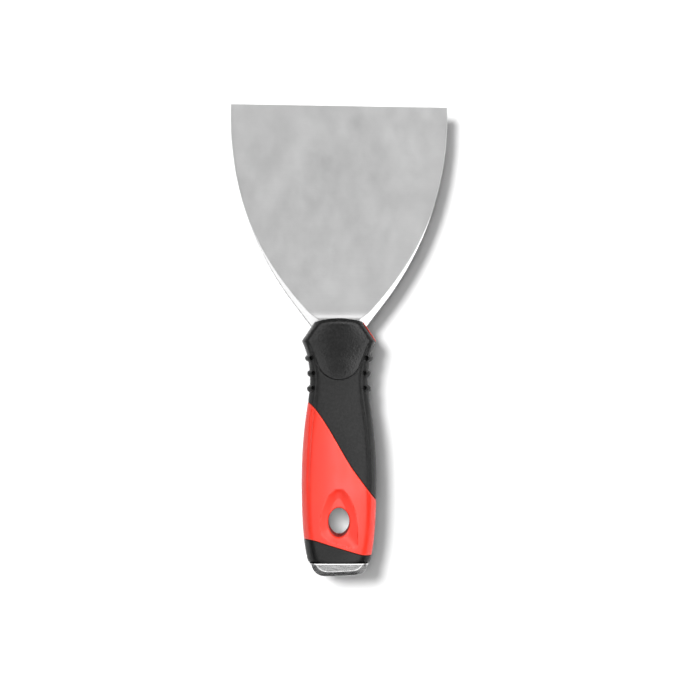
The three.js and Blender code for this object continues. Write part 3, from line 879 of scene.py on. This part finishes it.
def blade_steel():
    n = Nodes("blade_steel", Metallic=1.0)
    cloud = n.noise(38, detail=4, roughness=0.6)
    patch = n.noise(95, detail=5, roughness=0.65, stretch=(1, 0.7, 1))
    grind = n.noise(420, detail=4, stretch=(0.12, 6, 1))
    cross = n.noise(300, detail=3, stretch=(5, 0.2, 1))
    tone = n.mixed(n.ranged(cloud, 0.32, 0.68, 0, 1), (0.49, 0.49, 0.49), (0.575, 0.575, 0.575))
    tone = n.mixed(n.ranged(patch, 0.35, 0.75, 0, 0.4), tone, (0.61, 0.61, 0.61))
    towards_root = n.ranged(n.along("Y"), CROWN_Y + 0.08, CROWN_Y, 0, 0.3)
    tone = n.mixed(towards_root, tone, (0.66, 0.66, 0.66))
    tone = n.mixed(n.ranged(grind, 0.35, 0.7, 0, 0.16), tone, (0.5, 0.502, 0.505))
    roughness = n.ranged(patch, 0.2, 0.8, 0.28, 0.34)
    n.bumps((grind, 0.12, 0.00004), (cross, 0.06, 0.00003))
    return n.finish(tone, roughness)


def plated_steel():
    n = Nodes("plated_steel", Metallic=1.0)
    grain = n.noise(1500, detail=3)
    streak = n.noise(700, detail=3, stretch=(0.4, 2.5, 1))
    tone = n.mixed(n.ranged(grain, 0.35, 0.65, 0, 1), (0.56, 0.56, 0.56), (0.64, 0.64, 0.64))
    tone = n.mixed(n.math("MULTIPLY", n.worn(), 0.5), tone, (0.72, 0.72, 0.72))
    roughness = n.ranged(streak, 0.3, 0.7, 0.2, 0.32)
    n.bumps((grain, 0.04, 0.00003), (streak, 0.04, 0.00003))
    return n.finish(tone, roughness)


def pin_steel():
    n = Nodes("pin_steel", Metallic=1.0)
    turned = n.noise(900, detail=2, stretch=(1, 1, 4))
    tone = n.mixed(n.ranged(turned, 0.3, 0.7, 0, 1), (0.42, 0.42, 0.43), (0.55, 0.55, 0.56))
    n.bumps((turned, 0.2, 0.00004))
    return n.finish(tone, n.ranged(turned, 0.3, 0.7, 0.35, 0.5))


def red_plastic():
    n = Nodes("red_plastic", IOR=1.49, Specular_IOR_Level=0.7)
    cloud = n.noise(60, detail=3)
    grain = n.noise(1700, detail=3)
    flow = n.noise(240, detail=3, stretch=(1, 0.35, 1))
    tone = n.mixed(n.ranged(cloud, 0.3, 0.7, 0, 1), (0.78, 0.018, 0.004), (0.82, 0.024, 0.006))
    tone = n.mixed(n.ranged(flow, 0.4, 0.7, 0, 0.25), tone, (0.87, 0.042, 0.018))
    tone = n.mixed(n.math("MULTIPLY", n.worn(), 0.2), tone, (0.97, 0.2, 0.13))
    # Painted shade: inside the hang hole the wall is painted dark red and made fully rough,
    # standing in for the shade deep in the hole.
    from_hole = n.from_middle((0, -HOLE_STATION), (HOLE_HALF_WIDTH, HOLE_HALF_LENGTH))
    hole_wall_painted_shade = n.ranged(from_hole, 1.0, 1.05, 1, 0)
    tone = n.mixed(hole_wall_painted_shade, tone, (0.22, 0.0, 0.002))
    n.bumps((grain, 0.2, 0.00006), (flow, 0.08, 0.0001))
    roughness = n.math("MAXIMUM", n.ranged(flow, 0.3, 0.7, 0.36, 0.46), hole_wall_painted_shade)
    return n.finish(tone, roughness)


def rubber(name, dark, light, rough, pebble, polished=None):
    """Black rubber; "polished" is the centre and radius of a shinier disc, and how much shinier.

    The strip in front of the disc's centre is as shiny as the disc.
    """
    n = Nodes(name, IOR=1.5, Specular_IOR_Level=0.28)
    cloud = n.noise(70, detail=3)
    pebbles = n.cells(1250)
    fine = n.noise(900, detail=4, roughness=0.6)
    tone = n.mixed(n.ranged(cloud, 0.3, 0.7, 0, 1), dark, light)
    tone = n.mixed(n.ranged(fine, 0.4, 0.7, 0, 0.5), tone, tuple(2 * c for c in light))
    tone = n.mixed(n.math("MULTIPLY", n.worn(0.52, 0.6), 0.3), tone, tuple(2 * c for c in light))
    roughness = n.ranged(cloud, 0.3, 0.7, rough, rough + 0.08)
    if polished:
        centre, radius, smooth = polished
        on_pad = n.ranged(n.from_middle(centre, (radius, radius)), 1, 1.01, 1, 0)
        front = CROWN_Y + centre[1] * MM
        ahead = n.ranged(n.along("Y"), front - 0.1 * MM, front, 0, 1)
        on_pad = n.math("MAXIMUM", on_pad, ahead)
        gain = n.ranged(on_pad, 0, 1, 0, smooth)
        roughness = n.math("SUBTRACT", roughness, gain)
    n.bumps((pebbles, pebble, 0.00012), (fine, 0.3, 0.0001))
    return n.finish(tone, roughness)


# --------------------------------------------------------------- pieces

steel = blade_steel()
pad = ((0, -PAD_STATION), PAD_RADIUS, 0.22)
grip_rubber = rubber("grip_rubber", (0.01, 0.01, 0.01), (0.015, 0.015, 0.015), 0.45, 0.6, pad)
collar_rubber = rubber("collar_rubber", (0.005, 0.005, 0.005), (0.008, 0.008, 0.008), 0.32, 0.3)

make_blade(steel)
implicit_piece(
    "tang", tang,
    [grid_axis((-12, 12, 0.7)), grid_axis((-112.3, -4.5, 0.7)), grid_axis((-2, 2, 0.5))],
    "handle", steel, ["tang"],
)
implicit_piece(
    "soft_grip", soft_grip,
    [grid_axis((-18.4, 18.4, 0.4)), grid_axis((-85.6, 0.8, 0.4)), grid_axis((-12.4, 12.4, 0.4))],
    "handle", grip_rubber, ["soft_grip"],
)
core = implicit_piece(
    "handle_core", handle_core,
    [
        grid_axis((-18, 18, 0.4)),
        grid_axis((-112.6, -36, 0.42), (-36, -12, 0.8), (-12, -0.8, 0.4)),
        grid_axis((-12.4, 12.4, 0.4)),
    ],
    "handle", red_plastic(), ["handle_core"],
)
implicit_piece(
    "rear_collar", rear_collar,
    [grid_axis((-17, 17, 0.3)), grid_axis((-113, -100.4, 0.3)), grid_axis((-11.5, 11.5, 0.3))],
    "handle", collar_rubber, ["rear_collar"],
)
implicit_piece(
    "hammer_cap", hammer_cap,
    [
        grid_axis((-14.2, 14.2, 0.25)),
        grid_axis((-119, -102.4, 0.25)),
        grid_axis((-9.4, 9.4, 0.25)),
    ],
    "handle", plated_steel(), ["hammer_cap"],
)
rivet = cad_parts["cap_rivet"]
rivet.data.materials.clear()
rivet.data.materials.append(pin_steel())

# --------------------------------------------------------------- floor, light and camera


def make_floor():
    half = 3                # metres
    corners = [(-half, -half, 0), (half, -half, 0), (half, half, 0), (-half, half, 0)]
    mesh = bpy.data.meshes.new("floor")
    mesh.from_pydata(corners, [], [(0, 1, 2, 3)])
    floor = bpy.data.objects.new("floor", mesh)
    bpy.context.scene.collection.objects.link(floor)
    n = Nodes("floor_paper")
    n.shader.inputs["Specular IOR Level"].default_value = 0.0
    paper = n.noise(8, detail=2)
    floor.data.materials.append(
        n.finish(n.mixed(paper, (0.9, 0.9, 0.9), (0.905, 0.905, 0.905)), 0.9)
    )
    floor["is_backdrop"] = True
    return floor


def make_world():
    """Even fill light, with a darker patch overhead and a bright ring round it for reflections."""
    world = bpy.data.worlds.new("studio")
    bpy.context.scene.world = world
    world.use_nodes = True
    world.cycles.sampling_method = "NONE"
    tree = world.node_tree
    back = tree.nodes["Background"]
    direction = tree.nodes.new("ShaderNodeTexCoord")
    parts = tree.nodes.new("ShaderNodeSeparateXYZ")
    ramp = tree.nodes.new("ShaderNodeValToRGB")
    tree.links.new(direction.outputs["Generated"], parts.inputs[0])
    tree.links.new(parts.outputs["Z"], ramp.inputs[0])
    while len(ramp.color_ramp.elements) < len(REFLECTED):
        ramp.color_ramp.elements.new(0.5)
    for element, (height, level) in zip(ramp.color_ramp.elements, REFLECTED):
        element.position = height
        element.color = (level, level, level, 1)
    lean = tree.nodes.new("ShaderNodeVectorMath")
    lean.operation = "DOT_PRODUCT"
    lean.inputs[1].default_value = REFLECTED_LEAN
    tree.links.new(direction.outputs["Generated"], lean.inputs[0])
    gain = tree.nodes.new("ShaderNodeMath")
    gain.operation = "MULTIPLY_ADD"
    gain.inputs[1].default_value = REFLECTED_GAIN
    gain.inputs[2].default_value = REFLECTED_GAIN
    tree.links.new(lean.outputs["Value"], gain.inputs[0])
    bright = tree.nodes.new("ShaderNodeVectorMath")
    bright.operation = "SCALE"
    tree.links.new(ramp.outputs[0], bright.inputs[0])
    tree.links.new(gain.outputs[0], bright.inputs["Scale"])
    path = tree.nodes.new("ShaderNodeLightPath")
    colour = bright.outputs[0]
    for ray, plain in (("Is Glossy Ray", FILL), ("Is Camera Ray", BACKDROP)):
        pick = tree.nodes.new("ShaderNodeMix")
        pick.data_type = "RGBA"
        tree.links.new(path.outputs[ray], pick.inputs[0])
        kept, other = (7, 6) if ray == "Is Glossy Ray" else (6, 7)
        pick.inputs[other].default_value = (plain, plain, plain, 1)
        tree.links.new(colour, pick.inputs[kept])
        colour = pick.outputs[2]
    tree.links.new(colour, back.inputs["Color"])


def group(name, objects):
    collection = bpy.data.collections.new(name)
    for piece in objects:
        collection.objects.link(piece)
    return collection


def make_sun(name, toward, strength, angle, lit, shiny=False):
    light = bpy.data.lights.new(name, "SUN")
    light.energy = strength
    light.angle = math.radians(angle)
    sun = bpy.data.objects.new(name, light)
    sun.rotation_mode = "QUATERNION"
    sun.rotation_quaternion = Vector(toward).to_track_quat("Z", "Y")
    sun.visible_glossy = shiny
    sun.light_linking.receiver_collection = lit
    bpy.context.scene.collection.objects.link(sun)


def make_hole_light(floor_only):
    """A small lamp in the hang hole, so that the floor shows pale through it."""
    light = bpy.data.lights.new("hole_light", "AREA")
    light.shape = "ELLIPSE"
    light.size, light.size_y = (size * MM for size in HOLE_LIGHT_SIZE)
    light.energy = HOLE_LIGHT_POWER
    lamp = bpy.data.objects.new("hole_light", light)
    lamp.location = to_row(np.array(HOLE_LIGHT_PLACE))
    lamp.visible_camera = False
    lamp.visible_glossy = False
    lamp.light_linking.receiver_collection = floor_only
    bpy.context.scene.collection.objects.link(lamp)


def make_camera():
    """Straight down over the knife, with the blade to the top of the picture."""
    camera = bpy.data.cameras.new("camera")
    camera.lens = LENS
    camera.sensor_width = SENSOR
    camera.clip_start = 0.05
    holder = bpy.data.objects.new("camera", camera)
    holder.location = to_row(np.array([CAMERA_ASIDE, -CAMERA_BEHIND, VIEW_WIDTH * LENS / SENSOR]))
    bpy.context.scene.collection.objects.link(holder)
    bpy.context.scene.camera = holder


make_camera()
bpy.context.scene.view_settings.view_transform = "Standard"
make_world()
core.visible_diffuse = False   # keeps red light off the floor
floor_only = group("floor_only", [make_floor()])
knife_only = group("knife_only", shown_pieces())
make_sun("key", (-0.46, 0.36, 1), 3.5, 20, floor_only)
make_sun("overhead", (-0.05, 0.05, 1), 0.78, 25, floor_only)
make_sun("knife_key", (0.35, 0.5, 1), 2.5, 40, knife_only)
make_sun("knife_fill", (-0.7, -0.3, 1), 0.9, 90, knife_only)
make_sun("core_shine", (0.12, 0.06, 1), 1.1, 32, group("core_only", [core]), shiny=True)
make_hole_light(floor_only)
